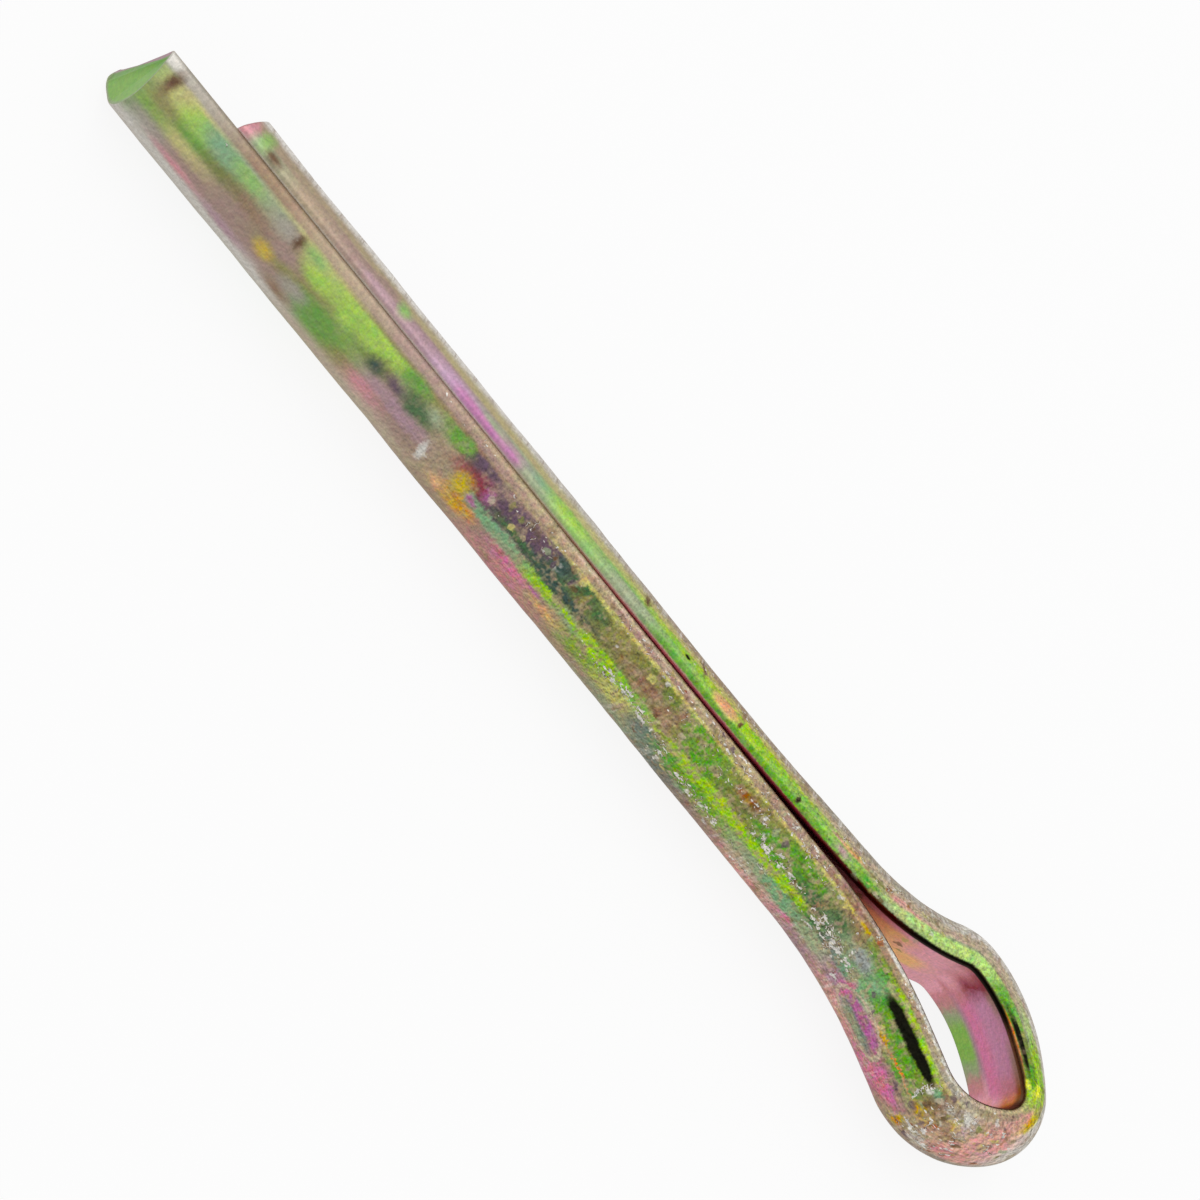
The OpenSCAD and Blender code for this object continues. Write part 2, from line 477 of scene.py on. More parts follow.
def feed(tree, socket, value):
    """Joins an output to a socket, or sets the socket to a plain value."""
    if isinstance(value, bpy.types.NodeSocket):
        tree.links.new(value, socket)
    else:
        socket.default_value = value


def calc(tree, operation, *values):
    """One sum on numbers."""
    made = add(tree, "ShaderNodeMath", operation=operation)
    for socket, value in zip(made.inputs, values):
        feed(tree, socket, value)
    return made.outputs[0]


def vector_calc(tree, operation, *values, out=0):
    """One sum on vectors."""
    made = add(tree, "ShaderNodeVectorMath", operation=operation)
    for socket, value in zip(made.inputs, values):
        feed(tree, socket, value)
    return made.outputs[out]


def times(tree, first, *others):
    """Multiplies numbers."""
    for value in others:
        first = calc(tree, "MULTIPLY", first, value)
    return first


def rest_of(tree, mask):
    """What a mask leaves uncovered."""
    return calc(tree, "SUBTRACT", 1.0, mask)


def rise(tree, value, low, high, to_low=0.0, to_high=1.0):
    """Goes smoothly from one number to another while value goes from low to high."""
    made = add(tree, "ShaderNodeMapRange", interpolation_type="SMOOTHSTEP")
    for name, number in (
        ("Value", value), ("From Min", low), ("From Max", high),
        ("To Min", to_low), ("To Max", to_high),
    ):
        feed(tree, made.inputs[name], number)
    return made.outputs["Result"]


print("helpers for sums are ready")

# %% [markdown]
# Two more helpers deal with colour and noise, and two with node groups. A
# group is built once and can then be placed in any material.

# %% Write the helpers for colour, noise and groups
def over(tree, mask, below, above):
    """Lays one colour over another where a mask says."""
    made = add(tree, "ShaderNodeMix", data_type="RGBA")
    feed(tree, made.inputs["Factor"], mask)
    feed(tree, made.inputs[6], below)
    feed(tree, made.inputs[7], above)
    return made.outputs[2]


def cloud(tree, vector, scale, detail=2.0, roughness=0.5, colour=False):
    """Soft noise of about 1/scale millimetres."""
    made = add(tree, "ShaderNodeTexNoise")
    feed(tree, made.inputs["Vector"], vector)
    made.inputs["Scale"].default_value = scale
    made.inputs["Detail"].default_value = detail
    made.inputs["Roughness"].default_value = roughness
    return made.outputs["Color" if colour else "Fac"]


def new_group(name, takes, gives):
    """An empty node group with named inputs and outputs."""
    group = bpy.data.node_groups.new(name, "ShaderNodeTree")
    kinds = {"value": "NodeSocketFloat", "vector": "NodeSocketVector", "colour": "NodeSocketColor"}
    for direction, sockets in (("INPUT", takes), ("OUTPUT", gives)):
        for label, kind in sockets:
            group.interface.new_socket(label, in_out=direction, socket_type=kinds[kind])
    start, end = add(group, "NodeGroupInput"), add(group, "NodeGroupOutput")
    return group, start.outputs, end.inputs


def use(tree, group, **values):
    """Places a group in a tree. Its sockets are named with underscores for spaces."""
    made = add(tree, "ShaderNodeGroup", node_tree=group)
    for name, value in values.items():
        feed(tree, made.inputs[name.replace("_", " ")], value)
    return made.outputs


print("helpers for colour, noise and groups are ready")

# %% [markdown]
# ## Where on the wire
#
# Everything in the plating is placed by two numbers: how far along the wire,
# and the turn round its round side, from 90 degrees at the upper edge of the
# split through 0 at the crown to -90 at the lower edge. The first can be read
# off laid_straight. The second is the angle of a point seen from a line just
# above the middle of the flat, so that it is never undefined.

# %% Group: place on the wire, measured
HALF = (0.5, 0.5, 0.5)
LINE_ABOVE_FLAT = 0.02
FLAT_FROM, FLAT_TO = 0.10, 0.02

place_group, given, out = new_group(
    "place_on_wire", [("Laid", "vector"), ("Raggedness", "value")],
    [("Along", "value"), ("Turn", "value"), ("Place", "vector"), ("Calm Place", "vector"),
     ("Flat", "value")],
)
t = place_group
parts = add(t, "ShaderNodeSeparateXYZ")
feed(t, parts.inputs[0], given["Laid"])
from_line = calc(t, "ADD", parts.outputs["Y"], LINE_ABOVE_FLAT)
turn = calc(t, "MULTIPLY", calc(t, "ARCTAN2", parts.outputs["Z"], from_line), degrees(1))
print("the crown has a turn of 0, the edges of the split 90 and -90 degrees")

# %% [markdown]
# A film has no ruled borders, so both numbers are made ragged before they are
# used, by three noises: a broad one, a fine one and one like hairs across the
# wire. Each swings round zero and is weighted by its drift, in millimetres
# along and degrees of turn. Next to the split the borders run straight, so the
# turn is calmer there. A second, calmer place is for marks with a clear border.

# %% Group: place on the wire, made ragged
BROAD_DRIFT, FINE_DRIFT, HAIR_DRIFT = (1.0, 12, 0), (0.7, 12, 0), (0, 9, 0)
STRAIGHT_FROM, STRAIGHT_TO, STRAIGHT_SHARE = 56, 76, 0.22
CALM_SHARE = (0.4, 0.4, 0.4)

long_grain = vector_calc(t, "MULTIPLY", given["Laid"], (0.6, 1, 1))
hairs = vector_calc(t, "MULTIPLY", given["Laid"], (1.6, 0.3, 0.3))
broad = vector_calc(t, "SUBTRACT", cloud(t, long_grain, 1.3, 2, colour=True), HALF)
fine = vector_calc(t, "SUBTRACT", cloud(t, given["Laid"], 7.0, 3, 0.8, colour=True), HALF)
hair = calc(t, "SUBTRACT", cloud(t, hairs, 6.0, 1), 0.5)
drift = vector_calc(t, "MULTIPLY", broad, BROAD_DRIFT)
drift = vector_calc(t, "ADD", drift, vector_calc(t, "MULTIPLY", fine, FINE_DRIFT))
drift = vector_calc(t, "ADD", drift, vector_calc(t, "MULTIPLY", hair, HAIR_DRIFT))
turn_share = rise(t, turn, STRAIGHT_FROM, STRAIGHT_TO, 1.0, STRAIGHT_SHARE)
shares = add(t, "ShaderNodeCombineXYZ")
feed(t, shares.inputs["X"], 1.0)
feed(t, shares.inputs["Y"], turn_share)
drift = vector_calc(t, "MULTIPLY", drift, shares.outputs[0])
raggedness = add(t, "ShaderNodeCombineXYZ")
for socket in raggedness.inputs:
    feed(t, socket, given["Raggedness"])
drift = vector_calc(t, "MULTIPLY", drift, raggedness.outputs[0])
ruled = add(t, "ShaderNodeCombineXYZ")
feed(t, ruled.inputs["X"], parts.outputs["X"])
feed(t, ruled.inputs["Y"], turn)
ragged = vector_calc(t, "ADD", ruled.outputs[0], drift)
halves = add(t, "ShaderNodeSeparateXYZ")
feed(t, halves.inputs[0], ragged)
feed(t, out["Along"], halves.outputs["X"])
feed(t, out["Turn"], halves.outputs["Y"])
feed(t, out["Place"], ragged)
calm_drift = vector_calc(t, "MULTIPLY", drift, CALM_SHARE)
feed(t, out["Calm Place"], vector_calc(t, "ADD", ruled.outputs[0], calm_drift))
feed(t, out["Flat"], rise(t, parts.outputs["Y"], FLAT_FROM, FLAT_TO))
print(place_group.name, "has", len(t.nodes), "nodes")

# %% [markdown]
# ## Marks and rings
#
# A mark is an oval with a soft border at a place on the wire: a stain, a rub,
# a spot where the film is thicker, or a painted highlight. A ring is the outline
# of such an oval. Both ask how far off a point is, counted in reaches of the oval.

# %% Groups: mark and ring
oval = [("Place", "vector"), ("Centre", "vector"), ("Reach", "vector")]


def reaches_off(tree, given):
    """How far off the oval's centre a place is. Its outline lies at 1."""
    off = vector_calc(tree, "SUBTRACT", given["Place"], given["Centre"])
    return vector_calc(tree, "LENGTH", vector_calc(tree, "DIVIDE", off, given["Reach"]), out=1)


mark_group, given, out = new_group("mark", oval + [("Softness", "value")], [("Mask", "value")])
t = mark_group
off = reaches_off(t, given)
outer = calc(t, "ADD", 1.0, given["Softness"])
feed(t, out["Mask"], rise(t, off, outer, calc(t, "SUBTRACT", 1.0, given["Softness"])))

ring_group, given, out = new_group("ring", oval + [("Width", "value")], [("Mask", "value")])
t = ring_group
off = calc(t, "ABSOLUTE", calc(t, "SUBTRACT", reaches_off(t, given), 1.0))
feed(t, out["Mask"], rise(t, off, given["Width"], times(t, given["Width"], 0.5)))
print("groups made:", mark_group.name, "and", ring_group.name)

# %% [markdown]
# ## Flecks
#
# Flecks are where the plating has chipped or taken up dirt. The curly ones are
# the contour lines of a noise, broken up by a second one, and the specks are
# the peaks of another. The more a place is worn, the lower the noise has to
# reach before a fleck shows.

# %% Group: flecks
fleck_group, given, out = new_group(
    "flecks", [("Laid", "vector"), ("Amount", "value")],
    [("Curls", "value"), ("Outline", "value"), ("Specks", "value")],
)
t = fleck_group
contour = calc(t, "ABSOLUTE", calc(t, "SUBTRACT", cloud(t, given["Laid"], 3.0, 2, 0.5), 0.5))
broken = rise(t, cloud(t, vector_calc(t, "ADD", given["Laid"], (31, 7, 3)), 5.0, 1), 0.4, 0.47)
chips = cloud(t, vector_calc(t, "ADD", given["Laid"], (11, 17, 5)), 1.7, 2, 0.7)
needed = calc(t, "SUBTRACT", 0.74, times(t, given["Amount"], 0.2))
chipped = times(t, rise(t, chips, needed, calc(t, "ADD", needed, 0.05)), broken)
curls = times(t, rise(t, contour, 0.02, 0.009), chipped)
near_curls = times(t, rise(t, contour, 0.065, 0.024), chipped)
feed(t, out["Curls"], curls)
feed(t, out["Outline"], calc(t, "SUBTRACT", near_curls, curls))
drawn_out = vector_calc(t, "MULTIPLY", given["Laid"], (0.6, 1, 1))
peaks = cloud(t, drawn_out, 5.5, 2, 0.7)
needed = calc(t, "SUBTRACT", 0.77, times(t, given["Amount"], 0.13))
feed(t, out["Specks"], rise(t, peaks, needed, calc(t, "ADD", needed, 0.03)))
print(fleck_group.name, "has", len(t.nodes), "nodes")

# %% [markdown]
# ## Crumbs
#
# Where film, dirt and bare metal lie side by side, the plating looks crumbled.
# A Voronoi texture makes the cells. Each cell has a colour of its own at
# random: one part of it picks a hue from a short list, another says whether
# the cell shows at all.

# %% Group: crumbs
CRUMBS = [
    "bark", "pale", "moss", "straw", "plum", "clay", "olive", "shell", "rust", "sage", "sand",
]
CELLS_PER_MM, CELL_BEND = 3.4, (0.35, 0.35, 0.35)
CRUMB_RIM, CRUMB_CORE = 0.62, 0.3

crumb_group, given, out = new_group(
    "crumbs", [("Laid", "vector"), ("Amount", "value")], [("Mask", "value"), ("Colour", "colour")],
)
t = crumb_group
bent = vector_calc(t, "SUBTRACT", cloud(t, given["Laid"], 4.0, 1, colour=True), HALF)
bent = vector_calc(t, "ADD", given["Laid"], vector_calc(t, "MULTIPLY", bent, CELL_BEND))
cells = add(t, "ShaderNodeTexVoronoi")
feed(t, cells.inputs["Vector"], bent)
cells.inputs["Scale"].default_value = CELLS_PER_MM
pick = add(t, "ShaderNodeSeparateXYZ")
feed(t, pick.inputs[0], cells.outputs["Color"])
hues = add(t, "ShaderNodeValToRGB")
hues.color_ramp.interpolation = "CONSTANT"
while len(hues.color_ramp.elements) < len(CRUMBS):
    hues.color_ramp.elements.new(1)
for i, (element, name) in enumerate(zip(hues.color_ramp.elements, CRUMBS)):
    element.position = i / len(CRUMBS)
    element.color = linear(name)
feed(t, hues.inputs["Fac"], pick.outputs["X"])
feed(t, out["Colour"], hues.outputs["Color"])
core = rise(t, cells.outputs["Distance"], CRUMB_RIM, CRUMB_CORE)
kept = calc(t, "LESS_THAN", pick.outputs["Y"], given["Amount"])
feed(t, out["Mask"], times(t, core, kept))
print("crumbs come in", len(CRUMBS), "colours")

# %% [markdown]
# ## Grain and painted shading
#
# The grain is the orange peel of the zinc. It shifts the hue, the saturation
# and the value of a colour a little, by noise. A bump alone hardly shows under
# soft light from all sides, so the value also carries painted shading of the
# peel: the difference between two looks at the same noise from places a little
# apart, which makes each bump lighter on one side and darker on the other.

# %% Group: grain and painted shading
ASIDE = (0.05, 0.02, -0.05)
HUE_SWING, SATURATION_SWING, VALUE_SWING, DRAWN_SWING, PAINTED_SHADING_SWING = 0.2, 1.1, 1.1, 0.5, 1.7


def around(tree, middle, noise_value, swing, strength):
    """A number that noise swings around its middle."""
    swung = times(tree, calc(tree, "SUBTRACT", noise_value, 0.5), swing)
    return calc(tree, "ADD", middle, times(tree, swung, strength))


grain_and_shading_group, given, out = new_group(
    "grain_and_shading", [("Laid", "vector"), ("Strength", "value"), ("Richness", "value")],
    [("Hue", "value"), ("Saturation", "value"), ("Value", "value"), ("Height", "value")],
)
t = grain_and_shading_group
coarse = cloud(t, given["Laid"], 3.2, 2, 0.7)
fine = cloud(t, given["Laid"], 9, 2, 0.9)
drawn = cloud(t, vector_calc(t, "MULTIPLY", given["Laid"], (0.3, 2, 2)), 4.5, 2, 0.6)
here = cloud(t, given["Laid"], 5.2, 2, 0.8)
beside = cloud(t, vector_calc(t, "ADD", given["Laid"], ASIDE), 5.2, 2, 0.8)
# Painted shading of the peel: each bump lighter on one side, darker on the other
painted_relief_shading = calc(t, "SUBTRACT", here, beside)
feed(t, out["Hue"], around(t, 0.5, coarse, HUE_SWING, given["Strength"]))
rich = around(t, given["Richness"], fine, SATURATION_SWING, given["Strength"])
feed(t, out["Saturation"], rich)
shade = around(t, 1.0, fine, VALUE_SWING, given["Strength"])
shade = around(t, shade, drawn, DRAWN_SWING, given["Strength"])
shade = around(t, shade, calc(t, "ADD", painted_relief_shading, 0.5), PAINTED_SHADING_SWING, given["Strength"])
feed(t, out["Value"], shade)
feed(t, out["Height"], calc(t, "ADD", here, times(t, drawn, 0.5)))
print(grain_and_shading_group.name, "has", len(t.nodes), "nodes")

# %% [markdown]
# ## Bands of colour along the wire
#
# The film follows the way the wire was drawn and hung in the bath, so its
# colours lie in long bands. Some bands also carry painted highlights and painted
# shade along the wire. Each band is written as the places, in millimetres along
# the wire, where a colour is at its fullest. A colour ramp blends them.

# %% Write the bands
BANDS = {
    # The seam band's dark stretch, from 46.6 to 58.5 mm, is painted shade: the dark reflection in
    # the rolled edge beside the split.
    "seam": "0 sand, 12 sand, 18 shell, 23 rust, 29 wine, 35 clay, 38 ash, 43 ash, 45.5 clay, "
            "46.6 bark, 47.3 lime, 47.8 bark, 50.3 soot, 51.5 bark, 53 soot, 58.5 soot, "
            "60 oxblood, 62 wine, 67 rose, 72 dusk, 78 sand, 90 sand",
    "rim": "0 pale, 1.5 ash, 5 clay, 9 sand, 13 dusk, 17 dusk, 21 sand, 25 dusk, 29 sand, "
           "33 dusk, 36 clay, 40 sand, 43 ash, 45 sand, 46 dusk, 47.3 lime, 48.6 moss, "
           "50.5 spring, 52 celery, 54 celery, 55.8 sage, 57 sand, 58 spring, 61 spring, "
           "64 lime, 67.5 spring, 69.8 sage, 72.5 spring, 74.4 jade, 76 mauve, 77 sage, "
           "78.4 lilac, 80.8 mauve, 84 dusk, 86.5 sand, 89 sage",
    # In the edge band, the pale from 38 to 42 mm is a painted highlight along the rolled edge.
    "edge": "0 pale, 1.5 ash, 5 clay, 9 sand, 13 dusk, 17 sand, 24 shell, 30 sand, 36 dusk, "
            "38 pale, 42 pale, 44 shell, 46 sand, 47.3 lime, 48.6 moss, 50.5 leaf, 52 celery, "
            "54 celery, 57 sage, 58 spring, 61 leaf, 68 leaf, 70 sage, 72.5 spring, 75 sage, "
            "77 orchid, 79 lilac, 81 mauve, 84 dusk, 86.5 sand, 89 sage",
    # The line band is a painted highlight in the film's changing colours: a narrow gold line along
    # the upper rim.
    "gold_highlight_line": "0 sage, 2 straw, 4.5 sage, 8 straw, 12 olive, 16 clay, 19 sand, 22 straw, 27 straw, "
            "31 straw, 35.5 straw, 36.5 gold, 37.5 moss, 40.5 olive, 42 straw, 44.5 shell, "
            "46 blush, 47.5 lime, 49.5 sage, 51 sand, 53.5 sage, 55.8 blush, 57 moss, "
            "58.4 blush, 60.5 spring, 63.5 lime, 67 lime, 70 spring, 73.5 spring, 75.5 sage, "
            "79 mauve, 83 dusk, 89 sand",
    "high": "0 spring, 1.2 straw, 2.2 lime, 3.2 jade, 4.6 spring, 6.2 sage, 7.4 clay, 8.3 straw, "
            "10 lime, 12.3 lime, 13.3 leaf, 14.3 olive, 15.6 leaf, 16.6 plum, 18.5 dusk, "
            "20.3 plum, 22 forest, 23.5 olive, 26 moss, 28.5 leaf, 31 olive, 34.5 leaf, 36 clay, "
            "38.5 leaf, 41.5 lime, 43 clay, 44 shell, 45.4 blush, 47.5 lime, 49 celery, "
            "51 shell, 54.5 shell, 58.5 shell, 63 straw, 90 sand",
    "low": "0 spring, 1.3 olive, 2.5 leaf, 4 moss, 5.5 clay, 7.6 dusk, 8.8 olive, 10.5 grass, "
           "12.2 moss, 13 dusk, 14 forest, 15.5 sand, 16.7 wine, 18.2 plum, 19.8 plum, "
           "21 forest, 23 olive, 25.5 moss, 27 clay, 28.4 leaf, 30.8 moss, 32.6 leaf, 35 forest, "
           "37 sage, 39 leaf, 41.5 leaf, 43.2 clay, 44.2 shell, 45.3 blush, 46.5 pale, 52 pale, "
           "58 ash, 66 sand, 73 pale, 78 bare, 90 bare",
    # The ridge band is a painted highlight in the film's changing colours: the bright line along
    # the ridge of the round side.
    "ridge_highlight": "0 spring, 1.2 grass, 2.5 straw, 5 dusk, 8 olive, 9.2 leaf, 11 grass, 12.5 mauve, "
             "14.5 mauve, 15.8 sand, 18 jade, 19.5 sage, 21 lime, 22.3 sage, 24 lime, "
             "26.3 spring, 27.4 sand, 29 lime, 31.5 lime, 34.5 lime, 35.4 forest, 36.7 slate, "
             "38.4 jade, 40 blush, 41.3 leaf, 42.8 sand, 44.5 blush, 46 pale, 58 ash, 62 clay, "
             "70 clay, 77 bare, 90 bare",
    "cheek": "0 leaf, 1.4 ash, 3 dusk, 5.5 dusk, 7.6 dusk, 8.5 ash, 9.6 leaf, 11 olive, "
             "12.2 rose, 14 dusk, 16 sand, 17.2 orange, 18.4 dusk, 20 rose, 21.6 sand, "
             "23.5 grass, 25.5 straw, 26.8 slate, 28.7 leaf, 30.3 grass, 32.5 sage, 34 jade, "
             "36.2 sage, 37.5 mauve, 39 orchid, 40.4 rose, 41.6 orchid, 42.8 sand, 44.4 blush, "
             "46 pale, 50 ash, 54 sage, 58 straw, 63 spring, 69 grass, 75 straw, 80 mauve, "
             "85 sand, 90 ash",
    "belly": "0 pale, 7 pale, 10 shell, 13 shell, 16.5 sand, 20 rose, 23 sand, 26 sage, "
             "28.2 slate, 30.5 dusk, 33 blush, 36 mauve, 38.5 blush, 41 pink, 42.6 sand, 44 ash, "
             "47 pale, 50 ash, 54 jade, 59 grass, 64 olive, 69 spring, 74 sage, 78 mauve, "
             "82 lilac, 86 dusk, 90 sand",
    "under": "0 shell, 4 sage, 8 spring, 12 straw, 16 mauve, 20 sage, 25 moss, 30 clay, "
             "35 olive, 39 mauve, 43 clay, 48 steel, 54 sage, 60 grass, 66 straw, 72 jade, "
             "78 lilac, 84 dusk, 90 ash",
}
print({name: len(text.split(",")) for name, text in BANDS.items()}, "stops")

# %% [markdown]
# A colour ramp runs from 0 to 1, so a place along the wire is first divided by
# a length a little beyond the wire's. It holds 32 stops at most, which is too
# few for some bands, so a band is made of two ramps that meet at one stop.

# %% Turn a band into ramps
RAMP_L = 90


def ramp_of(tree, along, stops):
    """One colour ramp through a few stops, each a place in millimetres and a name."""
    at = calc(tree, "DIVIDE", along, RAMP_L)
    made = add(tree, "ShaderNodeValToRGB")
    ramp = made.color_ramp
    ramp.interpolation = "EASE"
    while len(ramp.elements) < len(stops):
        ramp.elements.new(1)
    for element, (mm, name) in zip(ramp.elements, stops):
        element.position = mm / RAMP_L
        element.color = linear(name)
    feed(tree, made.inputs["Fac"], at)
    return made.outputs["Color"]


def band(tree, along, text):
    """The colours of a band, in two ramps."""
    stops = [(float(mm), name) for mm, name in (stop.split() for stop in text.split(","))]
    half = len(stops) // 2
    first = ramp_of(tree, along, stops[: half + 1])
    second = ramp_of(tree, along, stops[half:])
    return over(tree, calc(tree, "GREATER_THAN", along, stops[half][0]), first, second)


print("ramps reach", RAMP_L, "mm, the wire", round(WIRE_L, 1), "mm")

# %% [markdown]
# The bands are laid one over the other, from the underside up to the split.
# Each covers all that lies above its lower border. A border is a turn, and how
# many degrees it is blurred over on each side.

# %% Lay the bands
BORDERS = [
    ("belly", -34, 9), ("cheek", 2, 7), ("ridge_highlight", 23, 3.5), ("low", 37, 3),
    ("high", 54, 5), ("gold_highlight_line", 69, 1.6), ("rim", 73, 1.6), ("edge", 80, 1.6),
    ("seam", 86.8, 1.0),
]
LOWER_RIM = (-70, -76)


def lay_bands(tree, along, turn, blur):
    """The film's colour on the round side of the wire, with its painted highlights and painted
    shade.
    """
    colour = band(tree, along, BANDS["under"])
    colour = over(tree, rise(tree, turn, *LOWER_RIM), colour, linear("ash"))
    for name, border, soft in BORDERS:
        reach = times(tree, blur, soft)
        from_turn = calc(tree, "SUBTRACT", border, reach)
        mask = rise(tree, turn, from_turn, calc(tree, "ADD", border, reach))
        colour = over(tree, mask, colour, band(tree, along, BANDS[name]))
    return colour


print(len(BORDERS) + 1, "bands on the round side")

# %% [markdown]
# The flat side is seen only inside the eye. Its bands lie by height instead,
# in millimetres from its middle. Its colours are laid lighter than the film's
# own, most of all from 53 to 60 mm, as painted light in the shaded eye.

# %% Write and lay the bands of the flat side
FLAT_BANDS = {
    "flat_low": "0 dusk, 12 rose, 24 mauve, 36 rose, 44 petal, 46.5 orange, 47.4 petal, "
                "48.0 rose, 48.6 sage, 49.3 spring, 50.3 spring, 50.9 sage, 51.5 rose, "
                "52.2 petal, 53.4 petal, 56 petal, 66 petal, 78 mauve, 90 dusk",
    "flat_line": "0 dusk, 20 rose, 44 petal, 46.3 orange, 47.4 petal, 48.6 mauve, 50.9 mauve, "
                 "52 rose, 53.2 petal, 54.2 peach, 55 peach, 56.5 petal, 66 rose, 90 dusk",
    "flat_middle": "0 dusk, 20 rose, 44 petal, 46.3 orange, 47 petal, 47.7 fuchsia, 51 fuchsia, "
                   "51.5 rose, 52.4 petal, 53.2 petal, 54.2 peach, 55.2 peach, 56.5 petal, "
                   "60 petal, 66 rose, 90 dusk",
    "flat_high": "0 dusk, 20 mauve, 44 rust, 46.2 rust, 46.9 orange, 47.5 rose, 48.4 heather, "
                 "51 heather, 51.7 wine, 52.4 rose, 53.2 petal, 54.4 petal, 55.5 peach, "
                 "56.4 peach, 58 petal, 59.5 petal, 62 wine, 90 dusk",
    "flat_edge": "0 clay, 20 bark, 44 bark, 46.3 bark, 47.4 rust, 48.4 dusk, 49.6 heather, "
                 "51 dusk, 51.8 wine, 52.8 rose, 53.4 petal, 54.4 petal, 56 petal, 58 petal, "
                 "60 rose, 90 dusk",
    # The flat rim band's dark stretch, from 44 to 56.5 mm, is painted shade of the same rolled
    # edge.
    "flat_rim": "0 pale, 12 pale, 18 shell, 24 rose, 32 wine, 38 wine, 44 bark, 49 bark, "
                "50.5 soot, 55 soot, 56.5 oxblood, 61 wine, 68 rose, 74 shell, 78 pale, 90 pale",
}
FLAT_BORDERS = [
    ("flat_line", -0.66, 0.16), ("flat_middle", -0.42, 0.16), ("flat_high", 0.25, 0.35),
    ("flat_edge", 1.15, 0.2), ("flat_rim", 1.42, 0.04),
]


def lay_flat_bands(tree, along, height):
    """The film's colour on the flat side, laid lighter as painted light, with painted shade along
    its rim.
    """
    colour = band(tree, along, FLAT_BANDS["flat_low"])
    for name, border, soft in FLAT_BORDERS:
        mask = rise(tree, height, border - soft, border + soft)
        colour = over(tree, mask, colour, band(tree, along, FLAT_BANDS[name]))
    return colour


print(len(FLAT_BANDS), "bands on the flat side")
